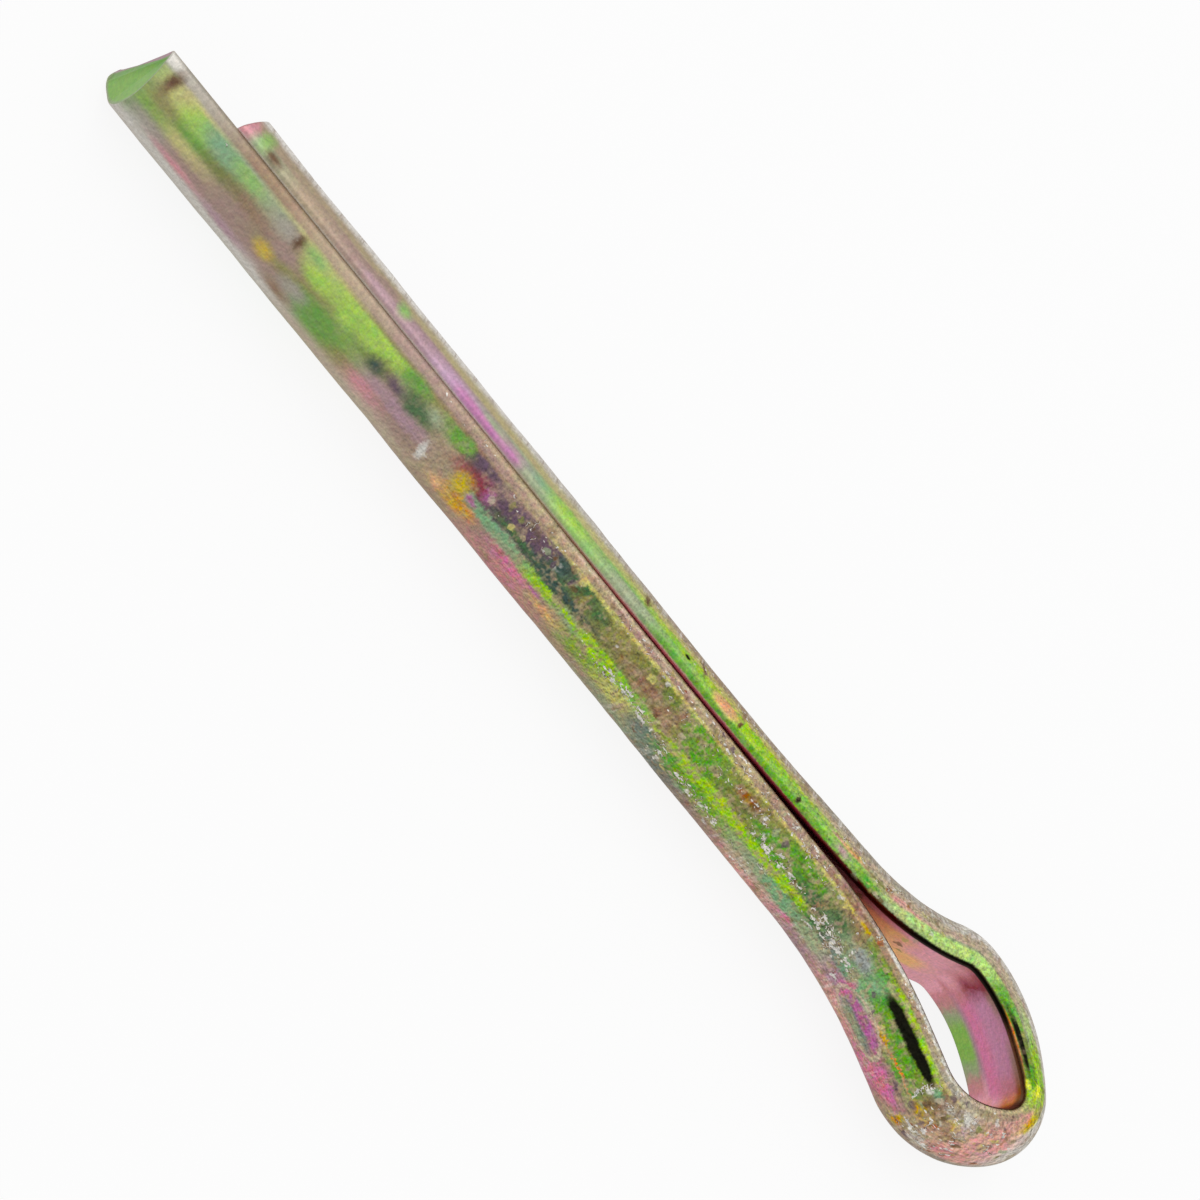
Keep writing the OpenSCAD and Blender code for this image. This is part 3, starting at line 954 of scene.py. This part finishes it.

# %% [markdown]
# ## Marks on this pin
#
# Each mark is a colour, its place (millimetres along, degrees of turn), how
# far it reaches each way, and how soft its border is. The black stripe on the
# long leg's side of the eye has a list of its own, because it goes on later
# and covers what is under it.

# %% List the marks
MARKS = [
    # towards the long leg's tip
    ("bark", 1.0, 64, 0.2, 14, 0.8), ("straw", 1.7, 62, 0.4, 9, 0.9),
    ("lime", 2.4, 56, 0.7, 8, 0.9), ("jade", 3.6, 60, 0.9, 9, 0.8),
    ("spring", 4.8, 62, 0.6, 6, 0.8), ("ash", 6.8, 60, 0.5, 8, 0.9),
    ("bark", 7.4, 62, 0.16, 8, 0.8), ("dusk", 7.3, 42, 0.3, 8, 0.8),
    ("gold", 6.9, 26, 0.35, 8, 0.9), ("rose", 3.1, 6, 0.9, 5, 0.95),
    ("mauve", 5.4, 4, 1.0, 6, 0.95), ("lime", 8.8, 54, 0.7, 8, 0.9),
    ("lime", 10.3, 50, 0.4, 9, 0.7), ("lime", 11.3, 56, 0.5, 10, 0.7),
    ("spring", 8.2, 66, 0.5, 6, 0.9), ("leaf", 9.8, 20, 0.9, 12, 0.9),
    ("ash", 8.5, 25, 0.5, 7, 0.9), ("clay", 8.2, 6, 0.6, 7, 0.95),
    ("pine", 12.0, 42, 0.3, 6, 0.95), ("plum", 12.9, 45, 0.35, 5, 0.95),
    ("leaf", 13.4, 64, 0.5, 8, 0.8), ("forest", 13.9, 48, 0.6, 8, 0.95),
    ("rose", 12.2, 14, 0.35, 6, 0.95), ("mauve", 13.9, 26, 0.8, 5, 0.9),
    ("leaf", 15.8, 64, 0.35, 8, 0.6), ("pale", 15.15, 20, 0.12, 12, 0.6),
    ("sage", 14.6, 56, 0.4, 7, 0.9),
    # the dark stretch and its bright spots
    ("wine", 17.3, 50, 0.45, 9, 0.7), ("plum", 16.9, 66, 0.5, 5, 0.7),
    ("plum", 18.9, 56, 1.2, 10, 0.7), ("orchid", 17.7, 48, 0.2, 6, 0.8),
    ("gold", 16.8, 32, 0.42, 12, 0.7), ("gold", 17.0, 12, 0.6, 9, 0.9),
    ("apricot", 16.3, 10, 0.5, 7, 0.9), ("orchid", 17.5, 30, 0.2, 4, 0.7),
    ("pink", 19.9, 14, 0.8, 5, 0.95), ("pine", 21.0, 60, 0.3, 9, 0.7),
    ("apricot", 21.8, 12, 0.5, 6, 0.95), ("orchid", 21.2, 20, 0.3, 3, 0.9),
    ("lime", 22.9, 31, 1.6, 3, 0.8), ("jade", 19.1, 33, 0.9, 2.5, 0.9),
    ("forest", 23.0, 58, 0.5, 7, 0.9), ("pine", 21.4, 44, 2.2, 5, 0.8),
    ("forest", 19.2, 43, 0.9, 4, 0.9),
    # along the middle of the long leg
    ("clay", 27.2, 60, 0.2, 8, 0.8), ("rust", 30.9, 58, 0.5, 5, 0.9),
    ("clay", 25.6, 48, 1.0, 8, 0.9), ("leaf", 29.0, 45, 0.5, 7, 0.8),
    ("leaf", 29.2, 16, 1.4, 7, 0.6), ("pink", 34.8, 0, 0.45, 5, 0.9),
    ("clay", 35.2, 48, 0.12, 9, 0.7), ("shell", 32.6, 0, 1.2, 6, 0.9),
    ("lime", 30.6, 31, 3.8, 3.2, 0.7), ("leaf", 33.0, 56, 0.6, 7, 0.9),
    ("forest", 36.0, 55, 0.5, 7, 0.8),
    # where the long leg turns into the eye
    ("steel", 37.6, 52, 0.5, 9, 0.7), ("jade", 37.6, 36, 0.6, 7, 0.8),
    ("jade", 38.6, 48, 0.45, 12, 0.8), ("leaf", 40.7, 41, 1.7, 6, 0.6),
    ("lime", 40.3, 69, 1.8, 3, 0.7), ("orange", 41.4, 34, 0.8, 1.5, 0.6),
    ("gold", 40.2, 33, 0.4, 1.8, 0.6), ("slate", 39.4, 8, 1.25, 9, 0.5),
    ("sage", 39.3, 3, 0.8, 5, 0.9), ("orchid", 39.5, 20, 1.15, 7.5, 0.35),
    ("pink", 38.05, 18, 0.2, 12, 0.7), ("pink", 41.6, 6, 0.65, 14, 0.7),
    ("dusk", 41.5, 22, 0.9, 4, 0.7), ("plum", 41.7, 22, 0.3, 4, 0.8),
    ("gold", 42.6, 2, 0.12, 12, 0.6), ("pale", 43.3, 6, 0.22, 10, 0.8),
    ("plum", 43.9, 46, 0.1, 5, 0.6), ("orchid", 44.4, 40, 0.14, 5, 0.6),
    ("lilac", 44.0, 49, 0.14, 4, 0.7), ("lilac", 44.8, 30, 0.2, 4, 0.8),
    ("gold", 43.7, 52, 0.16, 6, 0.8), ("rose", 44.0, 16, 0.4, 6, 0.8),
    ("blush", 44.6, 42, 0.6, 14, 0.9), ("pine", 42.9, 58, 0.15, 5, 0.7),
    ("gold", 42.8, 34, 0.3, 6, 0.9), ("jade", 42.6, 60, 0.3, 5, 0.8),
    ("pale", 43.9, 60, 0.5, 9, 0.9),
    # round the end of the eye and back along the short leg
    ("blush", 46.2, 70, 0.4, 6, 0.8), ("gold", 46.5, 62, 0.4, 5, 0.9),
    # The two lemon marks are painted highlights: bright glints at the end of the eye.
    ("lemon", 47.4, 73, 0.22, 7, 0.4), ("lemon", 47.6, 86, 0.2, 3.5, 0.5),
    ("lime", 48.6, 64, 0.5, 8, 0.8), ("leaf", 48.0, 78, 0.6, 6, 0.8),
    ("soot", 49.5, 82.3, 1.5, 3.0, 0.3), ("orange", 49.4, 86.8, 1.1, 0.9, 0.5),
    ("leaf", 51.0, 80, 0.7, 6, 0.8), ("bare", 52.8, 36, 0.8, 12, 0.9),
    ("celery", 54.2, 78, 2.4, 5, 0.9), ("blush", 56.2, 70, 0.4, 5, 0.8),
    ("apricot", 58.4, 70, 0.5, 4, 0.9), ("mauve", 58.7, 80, 0.3, 4, 0.8),
    ("leaf", 57.4, 82, 0.5, 5, 0.9), ("soot", 61.1, 79.5, 0.09, 4.5, 0.5),
    ("lime", 63.0, 67, 3.6, 3, 0.9), ("lime", 67.4, 67, 2.6, 3.5, 0.9),
    ("apricot", 65.0, 73, 0.65, 8, 0.45), ("bark", 64.2, 74, 0.07, 5, 0.5),
    ("soot", 67.1, 70, 0.12, 2.5, 0.5), ("clay", 64.3, 58, 0.13, 9, 0.7),
    ("bark", 66.3, 58, 0.1, 11, 0.7), ("bark", 69.3, 62, 0.13, 8, 0.7),
    ("sage", 69.8, 80, 0.8, 4, 0.9), ("lime", 73.2, 76, 0.8, 7, 0.9),
    ("orchid", 75.9, 83, 0.4, 3.5, 0.95), ("orchid", 78.1, 82, 0.7, 4.5, 0.95),
    ("spring", 81.8, 72, 0.25, 8, 0.9), ("dusk", 82.7, 68, 0.5, 5, 0.9),
    ("mauve", 83.0, 80, 0.7, 4, 0.9), ("bark", 88.2, 80, 0.3, 5, 0.9),
    ("spring", 88.7, 71, 0.25, 12, 0.8), ("rose", 89.5, 75, 0.4, 22, 0.5),
]
# The black stripe: three black marks in a row, laid over the mottling.
BLACK_STRIPE = [
    ("soot", 39.85, 57.0, 0.9, 7.0, 0.3), ("soot", 40.7, 58.2, 0.95, 7.2, 0.3),
    ("soot", 41.5, 60, 0.8, 6.2, 0.3),
]
print(len(MARKS), "marks, and", len(BLACK_STRIPE), "for the blackest stripe")

# %% [markdown]
# Where the pin has been handled and rubbed, the film is flaked. These are the
# places (millimetres along, degrees of turn), how far they reach, and how
# strongly the film is flaked there. In a second list are the places where it
# has crumbled into many colours.

# %% List the worn places
WORN = [
    (15.5, 78, 2.0, 7, 0.7), (20.0, 66, 3.0, 13, 0.8), (25.5, 75, 2.4, 6, 1.2),
    (23.2, 22, 0.5, 16, 0.9), (26.0, 25, 2.0, 6, 1.9), (27.8, 12, 0.5, 14, 1.6),
    (29.8, 11, 1.8, 8, 1.8), (31.0, 77, 4.8, 9, 1.4), (31.8, 58, 0.5, 12, 1.3),
    (33.0, 42, 1.8, 8, 1.7), (32.3, -2, 1.0, 13, 1.3), (34.4, 64, 0.9, 4, 1.4),
    (36.4, 34, 1.4, 15, 1.8), (33.1, 20, 0.4, 4, 1.3), (35.2, 22, 0.5, 5, 1.3),
    (29.0, 56, 3.5, 14, 0.8), (42.3, 56, 0.14, 20, 1.8), (43.5, 20, 0.9, 30, 1.5),
    (44.2, 60, 1.4, 14, 1.2), (45.5, 30, 1.0, 30, 0.9), (40.0, 82, 6.0, 7, 1.1),
    (36.5, 64, 1.0, 6, 1.0), (37.6, 14, 0.3, 4, 1.5), (57.5, 64, 3.2, 14, 1.0),
    (65.0, 50, 6.0, 12, 1.1),
]
CRUMBLED = [
    (43.2, 40, 0.9, 45, 0.6), (45.0, 34, 0.9, 50, 0.22), (57.0, 74, 2.6, 13, 0.5),
    (21.0, 56, 3.2, 14, 0.35), (26.5, 52, 2.5, 15, 0.3), (31.4, 60, 1.6, 10, 0.5),
    (36.5, 68, 2.0, 6, 0.4), (29.0, 4, 1.6, 12, 0.35), (40.0, 79, 5.5, 6, 0.3),
    (30.0, 79, 5.0, 6, 0.3), (38.5, 40, 1.6, 8, 0.25),
]
print(len(WORN), "worn places,", len(CRUMBLED), "crumbled ones")

# %% [markdown]
# Marks are laid over a colour one by one. Those whose border is neither hard
# nor very soft sit on the calmer place. For the worn places we only want to
# know how strongly any of them reaches a point.

# %% Write the helpers for marks and worn places
CALM_FROM, CALM_TO = 0.3, 0.5
WORN_SOFTNESS = 0.6


def lay_marks(tree, colour, where, marks):
    """Lays marks over a colour, in the order of the list."""
    for name, along_mm, turn_deg, reach, reach_deg, soft in marks:
        place = where["Calm Place" if CALM_FROM <= soft <= CALM_TO else "Place"]
        mask = use(
            tree, mark_group, Place=place, Centre=(along_mm, turn_deg, 0),
            Reach=(reach, reach_deg, 1), Softness=soft,
        )["Mask"]
        colour = over(tree, mask, colour, linear(name))
    return colour


def anywhere(tree, place, spots):
    """How strongly any of the listed spots reaches a place."""
    strongest = 0.0
    for along_mm, turn_deg, reach, reach_deg, amount in spots:
        mask = use(
            tree, mark_group, Place=place, Centre=(along_mm, turn_deg, 0),
            Reach=(reach, reach_deg, 1), Softness=WORN_SOFTNESS,
        )["Mask"]
        strongest = calc(tree, "MAXIMUM", strongest, times(tree, mask, amount))
    return strongest


calm_marks = [mark for mark in MARKS + BLACK_STRIPE if CALM_FROM <= mark[-1] <= CALM_TO]
print(len(calm_marks), "marks sit on the calmer place")

# %% [markdown]
# ## The plating: bands and marks
#
# Now the parts come together, starting with bands and marks. Close to the tips
# the film is smoother and more blurred than in the middle of the pin, which a
# number called sharp says. The flat side then covers what the bands of the
# round side have put on it.
#
# From here on a pair of numbers, in millimetres along the wire, degrees of turn
# or heights of a noise, says where something begins to show and where it is at
# its fullest.

# %% Start the plating
LONG_TIP_BLUR, SHORT_TIP_BLUR = (8, 26), (78, 58)
SMOOTH_RAGGEDNESS, MORE_RAGGEDNESS = 0.4, 0.5
BLUR_AT_TIPS, SHARP_ENOUGH = 1.9, 0.8


def start_material(name):
    """A material with a Principled BSDF and the place on the wire."""
    material = bpy.data.materials.new(name)
    material.use_nodes = True
    tree = material.node_tree
    laid_at = add(tree, "ShaderNodeAttribute", attribute_name="laid_straight").outputs["Vector"]
    split = add(tree, "ShaderNodeSeparateXYZ")
    feed(tree, split.inputs[0], laid_at)
    return material, tree, tree.nodes["Principled BSDF"], laid_at, split.outputs


plating, t, shader, laid_at, laid_mm = start_material("zinc_plating")
sharp = times(t, rise(t, laid_mm["X"], *LONG_TIP_BLUR), rise(t, laid_mm["X"], *SHORT_TIP_BLUR))
raggedness = calc(t, "ADD", SMOOTH_RAGGEDNESS, times(t, sharp, MORE_RAGGEDNESS))
where = use(t, place_group, Laid=laid_at, Raggedness=raggedness)
blur = rise(t, sharp, 0, SHARP_ENOUGH, BLUR_AT_TIPS, 1.0)
colour = lay_bands(t, where["Along"], where["Turn"], blur)
colour = lay_marks(t, colour, where, MARKS)
colour = over(t, where["Flat"], colour, lay_flat_bands(t, where["Along"], laid_mm["Z"]))
print("bands and marks take", len(t.nodes), "nodes")

# %% [markdown]
# ## The plating: wear
#
# The worn places and the flecks on them are worked out here, and laid on last.
# The flat side was never rubbed, so it stays free of them.

# %% Find the wear
OUTLINE_SHARE = 0.75

worn = anywhere(t, where["Place"], WORN)
crumbled = anywhere(t, where["Place"], CRUMBLED)
not_flat = rest_of(t, where["Flat"])
flecks = use(t, fleck_group, Laid=laid_at, Amount=worn)
curls = times(t, flecks["Curls"], not_flat)
specks = times(t, flecks["Specks"], not_flat)
outline = times(t, flecks["Outline"], not_flat, OUTLINE_SHARE)
print("with the wear,", len(t.nodes), "nodes")

# %% [markdown]
# The film is mottled all over, with pale patches and with dark ones the brown
# of peat. The upper rim of the eye is nearly clean of them. The black stripe is
# laid over the mottling.

# %% Lay the mottling and the burnt stripe
# From the end of the eye on, the upper rim is kept nearly clear of mottling, so that the painted
# highlight spots there stay bright.
CLEAN_ALONG, CLEAN_TURN, CLEAN_OF_PALE = (46, 47.5), (60, 70), 0.7
PALE_PATCHES, PALE_SHARE, PALE_AT_TIPS = (0.47, 0.66), 0.75, 0.2
DARK_PATCHES, DARK_SHARE = (0.55, 0.68), 0.52

clear_for_highlight = times(t, rise(t, laid_mm["X"], *CLEAN_ALONG), rise(t, where["Turn"], *CLEAN_TURN))
mottle = times(t, rise(t, cloud(t, laid_at, 2.3, 2, 0.8), *PALE_PATCHES), PALE_SHARE)
mottle = times(t, mottle, not_flat, rise(t, sharp, 0, 1, PALE_AT_TIPS, 1))
mottle = times(t, mottle, rest_of(t, times(t, clear_for_highlight, CLEAN_OF_PALE)))
colour = over(t, mottle, colour, linear("sand"))
dark = times(t, rise(t, cloud(t, laid_at, 1.5, 3, 0.8), *DARK_PATCHES), DARK_SHARE)
dark = times(t, dark, not_flat, sharp)
dark = times(t, dark, rest_of(t, clear_for_highlight))
colour = over(t, dark, colour, linear("peat"))
colour = lay_marks(t, colour, where, BLACK_STRIPE)
print("with the mottling,", len(t.nodes), "nodes")

# %% [markdown]
# The chatter of the rolls has left fine streaks across the wire. They show on
# the crown of the short leg and low on the long leg, light ones and dark ones.
# A noise that is squeezed along the wire and stretched round it draws them.

# %% Lay the streaks
SHORT_STREAK_TURN, SHORT_STREAK_ALONG = (62, 48), (47, 56)
SHORT_FADE_TURN, SHORT_FADE_SHARE = (10, 32), 0.12
LONG_STREAK_TURN, LONG_STREAK_FROM, LONG_STREAK_TO, LONG_SHARE = (16, 0), (20, 28), (48, 42), 0.45
LIGHT_STREAKS, LIGHT_SHARE, DARK_STREAKS, DARK_STREAK_SHARE = (0.5, 0.66), 0.6, (0.48, 0.36), 0.5

streaks = cloud(t, vector_calc(t, "MULTIPLY", laid_at, (1.6, 0.12, 0.12)), 3.0, 3, 0.7)
on_short = times(
    t, rise(t, where["Turn"], *SHORT_STREAK_TURN), rise(t, laid_mm["X"], *SHORT_STREAK_ALONG)
)
on_short = times(t, on_short, rise(t, where["Turn"], *SHORT_FADE_TURN, SHORT_FADE_SHARE, 1))
on_long = times(
    t, rise(t, where["Turn"], *LONG_STREAK_TURN), rise(t, laid_mm["X"], *LONG_STREAK_FROM)
)
on_long = times(t, on_long, rise(t, laid_mm["X"], *LONG_STREAK_TO, 0, LONG_SHARE))
streaked = times(t, calc(t, "MAXIMUM", on_short, on_long), not_flat)
light = times(t, streaked, rise(t, streaks, *LIGHT_STREAKS, 0, LIGHT_SHARE))
colour = over(t, light, colour, linear("bare"))
dark = times(t, streaked, rise(t, streaks, *DARK_STREAKS, 0, DARK_STREAK_SHARE))
colour = over(t, dark, colour, linear("clay"))
print("with the streaks,", len(t.nodes), "nodes")

# %% [markdown]
# Crumbs come next, then a pale ring that a drop has left on the long leg's
# side of the eye, and over all the flecks, each with a dark outline of dirt.

# %% Lay the crumbs, the ring and the flecks
CRUMB_SHARE, RING_SHARE = 0.75, 0.85
RING_CENTRE, RING_REACH, RING_WIDTH = (39.35, 13, 0), (1.42, 19, 1), 0.09

crumbs = use(t, crumb_group, Laid=laid_at, Amount=crumbled)
colour = over(t, times(t, crumbs["Mask"], CRUMB_SHARE), colour, crumbs["Colour"])
ring = use(
    t, ring_group, Place=where["Calm Place"], Centre=RING_CENTRE, Reach=RING_REACH,
    Width=RING_WIDTH,
)["Mask"]
colour = over(t, times(t, ring, RING_SHARE), colour, linear("shell"))
colour = over(t, outline, colour, linear("bark"))
colour = over(t, specks, colour, linear("pale"))
colour = over(t, curls, colour, linear("pale"))
print("with crumbs and flecks,", len(t.nodes), "nodes")

# %% [markdown]
# ## The plating: grain and gloss
#
# The grain, with its painted shading of the peel, tints the colour and fades
# towards the tips and on the flat. The whole is a metal with a fairly rough
# surface, and the curls, where dirt sits, are less metallic. A metal's shine
# turns white where it is seen at a slant. A specular tint keeps it a little
# warm, as the film does.

# %% Finish the plating
GRAIN_AT_TIPS, MORE_GRAIN, GRAIN_ON_FLAT, MORE_OFF_FLAT = 0.4, 0.6, 0.4, 0.6
RICH_AT_TIPS, RICH = 0.95, 1.14
PEEL_HEIGHTS = (0.3, 1.2)
BUMP_STRENGTH, BUMP_DEPTH = 0.5, 0.02
DIRT_DULLS = 0.7
SLANT_TINT = (0.72, 0.68, 0.64, 1)


def tinted(tree, grain_and_shading, colour):
    """A colour with the grain's hue and saturation, and its value with the painted shading."""
    made = add(tree, "ShaderNodeHueSaturation")
    for name in ("Hue", "Saturation", "Value"):
        feed(tree, made.inputs[name], grain_and_shading[name])
    feed(tree, made.inputs["Color"], colour)
    return made.outputs["Color"]


strength = calc(t, "ADD", GRAIN_AT_TIPS, times(t, sharp, MORE_GRAIN))
strength = times(t, strength, calc(t, "ADD", GRAIN_ON_FLAT, times(t, not_flat, MORE_OFF_FLAT)))
richness = rise(t, sharp, 0, 1, RICH_AT_TIPS, RICH)
grain_and_shading = use(t, grain_and_shading_group, Laid=laid_at, Strength=strength, Richness=richness)
feed(t, shader.inputs["Base Color"], tinted(t, grain_and_shading, colour))
feed(t, shader.inputs["Metallic"], rest_of(t, times(t, curls, DIRT_DULLS)))
feed(t, shader.inputs["Roughness"], rise(t, grain_and_shading["Height"], *PEEL_HEIGHTS, 0.3, 0.46))
height = times(t, grain_and_shading["Height"], strength)
bump = add(t, "ShaderNodeBump")
bump.inputs["Strength"].default_value = BUMP_STRENGTH
bump.inputs["Distance"].default_value = BUMP_DEPTH * MM
feed(t, bump.inputs["Height"], height)
feed(t, shader.inputs["Normal"], bump.outputs["Normal"])
shader.inputs["Specular Tint"].default_value = SLANT_TINT
mesh.materials.append(plating)
print("plating has", len(t.nodes), "nodes")

# %% [markdown]
# ## The sheared faces
#
# The two cut ends were plated too, but lay differently in the bath: one came
# out green and the other rose. Their rims are duller. They have the same grain
# as the rest of the pin, so the group is placed once more with less strength.

# %% Build the sheared faces
FACE_GRAIN, FACE_RICHNESS = 0.3, 1.1
LEAF_DEPTHS, MAUVE_DEPTHS = (0.2, 0.9), (0.3, 0.12)
OTHER_TIP = (40, 60)
FACE_RIM, FACE_RIM_SHARE = (1.62, 1.74), 0.8

sheared, t, shader, laid_at, laid_mm = start_material("sheared_face")
grain_and_shading = use(t, grain_and_shading_group, Laid=laid_at, Strength=FACE_GRAIN, Richness=FACE_RICHNESS)
colour = over(t, rise(t, laid_mm["Y"], *LEAF_DEPTHS), linear("leaf"), linear("spring"))
colour = over(t, rise(t, laid_mm["Y"], *MAUVE_DEPTHS), colour, linear("mauve"))
colour = over(t, rise(t, laid_mm["X"], *OTHER_TIP), colour, linear("rose"))
across = add(t, "ShaderNodeCombineXYZ")
feed(t, across.inputs["X"], laid_mm["Y"])
feed(t, across.inputs["Y"], laid_mm["Z"])
from_axis = vector_calc(t, "LENGTH", across.outputs[0], out=1)
colour = over(t, rise(t, from_axis, *FACE_RIM, 0, FACE_RIM_SHARE), colour, linear("sage"))
feed(t, shader.inputs["Base Color"], tinted(t, grain_and_shading, colour))
shader.inputs["Metallic"].default_value = 1
feed(t, shader.inputs["Roughness"], rise(t, grain_and_shading["Height"], *PEEL_HEIGHTS, 0.35, 0.5))
mesh.materials.append(sheared)
print("materials on the pin:", [material.name for material in mesh.materials])

# %% [markdown]
# ## Floor
#
# The pin lies on a plain white floor. It looks white to the camera and in the
# metal's shine, which one small helper finds from the kind of ray. Beneath
# that it is a plain matte floor, so it keeps a faint shadow of the pin.

# %% Make the floor
FLOOR_HALF = 1.5
FLOOR_GREY, WHITE_SHARE = 0.9, 0.88


def seen_directly(tree):
    """1 for rays from the camera, in shine and through glass, and 0 for the rest."""
    rays = add(tree, "ShaderNodeLightPath")
    seen = calc(tree, "MAXIMUM", rays.outputs["Is Camera Ray"], rays.outputs["Is Glossy Ray"])
    return calc(tree, "MAXIMUM", seen, rays.outputs["Is Transmission Ray"])


floor_mesh = bpy.data.meshes.new("floor")
floor_bm = bmesh.new()
bmesh.ops.create_grid(floor_bm, x_segments=1, y_segments=1, size=FLOOR_HALF)
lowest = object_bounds()[0].z
bmesh.ops.translate(floor_bm, verts=floor_bm.verts[:], vec=(0, 0, lowest))
floor_bm.to_mesh(floor_mesh)
floor_bm.free()
floor = bpy.data.objects.new("floor", floor_mesh)
bpy.context.scene.collection.objects.link(floor)

floor_paint = bpy.data.materials.new("floor_paint")
floor_paint.use_nodes = True
t = floor_paint.node_tree
t.nodes.clear()
matte = add(t, "ShaderNodeBsdfDiffuse")
matte.inputs["Color"].default_value = (FLOOR_GREY, FLOOR_GREY, FLOOR_GREY, 1)
white = add(t, "ShaderNodeEmission")
seen = seen_directly(t)
both = add(t, "ShaderNodeMixShader")
feed(t, both.inputs[0], times(t, seen, WHITE_SHARE))
feed(t, both.inputs[1], matte.outputs[0])
feed(t, both.inputs[2], white.outputs[0])
feed(t, add(t, "ShaderNodeOutputMaterial").inputs["Surface"], both.outputs[0])
floor_mesh.materials.append(floor_paint)
print("floor lies at", round(lowest / MM, 2), "mm")

# %% [markdown]
# ## Room and lamp
#
# The room is white to the camera and in the metal's shine, and a little dimmer
# as a light, so that the pin's colours come out as they were mixed. One large,
# weak lamp gives the light a side.

# %% Light the room
ROOM_LIGHT, ROOM_WHITE = 0.8, 1.0
LAMP_SIZE, LAMP_POWER, LAMP_PLACE = 0.25, 0.12, (-0.05, 0.15, 0.25)

world = bpy.data.worlds.new("white_room")
bpy.context.scene.world = world
world.use_nodes = True
t = world.node_tree
seen = seen_directly(t)
t.nodes["Background"].inputs["Color"].default_value = (1, 1, 1, 1)
brightness = rise(t, seen, 0, 1, ROOM_LIGHT, ROOM_WHITE)
feed(t, t.nodes["Background"].inputs["Strength"], brightness)

lamp_data = bpy.data.lights.new("softbox", "AREA")
lamp_data.shape = "DISK"
lamp_data.size = LAMP_SIZE
lamp_data.energy = LAMP_POWER
lamp = bpy.data.objects.new("softbox", lamp_data)
lamp.location = LAMP_PLACE
lamp.rotation_mode = "QUATERNION"
lamp.rotation_quaternion = lamp.location.to_track_quat("Z", "Y")
bpy.context.scene.collection.objects.link(lamp)
bpy.context.scene.view_settings.view_transform = "Standard"
print("lamp stands", round(lamp.location.length / MM), "mm away")
